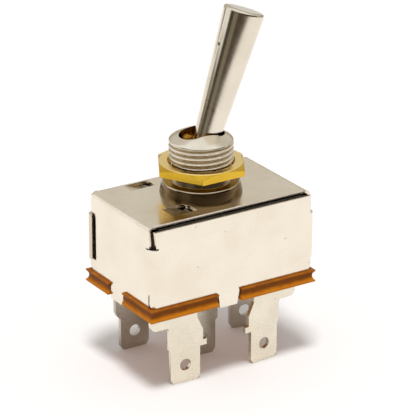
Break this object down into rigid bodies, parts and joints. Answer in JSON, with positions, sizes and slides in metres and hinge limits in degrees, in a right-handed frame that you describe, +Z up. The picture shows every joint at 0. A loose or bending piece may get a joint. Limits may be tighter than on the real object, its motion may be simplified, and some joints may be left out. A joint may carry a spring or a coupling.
{
  "type": "panel toggle switch",
  "caption": "Heavy-duty panel toggle switch with a folded metal case, threaded bushing and nut, bat lever and blade terminals on an amber base plate.",
  "frame": {"origin": "on the bushing's axis, level with the tips of the blade terminals, in the middle of the base plate", "axes": "+Z up along the bushing; X along the case and the lever's throw, +X the side that the lever leans to; Y across the case"},
  "size_m": [0.036, 0.0234, 0.0684],
  "materials": {
    "case": "satin nickel plate on folded sheet steel",
    "bushing": "turned and threaded, bright nickel plate",
    "nut": "bare turned brass, lightly polished",
    "lever": "turned, polished nickel plate",
    "plunger": "moulded nylon",
    "spring": "drawn spring wire",
    "base": "amber laminate with darker cut edges",
    "liner": "black insulating fibre",
    "terminal": "stamped strip with satin tin and nickel plate",
    "silver": "fine silver",
    "copper": "bare copper alloy strip",
    "rivet": "bare brass",
    "cap": "black moulded phenolic"
  },
  "bodies": {
    "base": {"housing": "case", "bushing": "bushing", "hex_nut": "nut", "base_plate": "base", "insulating_liner": "liner", "terminal_front_left": "terminal", "terminal_front_right": "terminal", "terminal_rear_left": "terminal", "terminal_rear_right": "terminal", "terminal_common": "terminal", "fixed_contact_front_left": "silver", "fixed_contact_front_right": "silver", "fixed_contact_rear_left": "silver", "fixed_contact_rear_right": "silver", "fulcrum_saddle": "copper", "saddle_rivet_front": "rivet", "saddle_rivet_rear": "rivet"},
    "lever": {"lever": "lever", "plunger_spring": "spring"},
    "plunger": {"plunger": "plunger"},
    "rocker": {"contact_bar": "copper", "rocker_cap": "cap", "moving_contact_front_left": "silver", "moving_contact_front_right": "silver", "moving_contact_rear_left": "silver", "moving_contact_rear_right": "silver"}
  },
  "joints": [
    {"name": "lever_hinge", "type": "hinge", "parent": "base", "child": "lever", "pos_m": [0, 0, 0.04], "axis": [0, 1, 0], "range_deg": [-38, 0]},
    {"name": "plunger_slide", "type": "slide", "parent": "lever", "child": "plunger", "axis": [0.3256, 0, 0.9455], "range_m": [0, 0.0008], "stiffness_N_per_m": 1500, "springref_m": -0.002, "deforming": ["plunger_spring"]},
    {"name": "rocker_hinge", "type": "hinge", "parent": "base", "child": "rocker", "pos_m": [0, 0, 0.02018], "axis": [0, 1, 0], "range_deg": [0, 10]}
  ],
  "couplings": [
    {"joint": "rocker_hinge", "follows": "lever_hinge", "ratio": -0.26316}
  ]
}
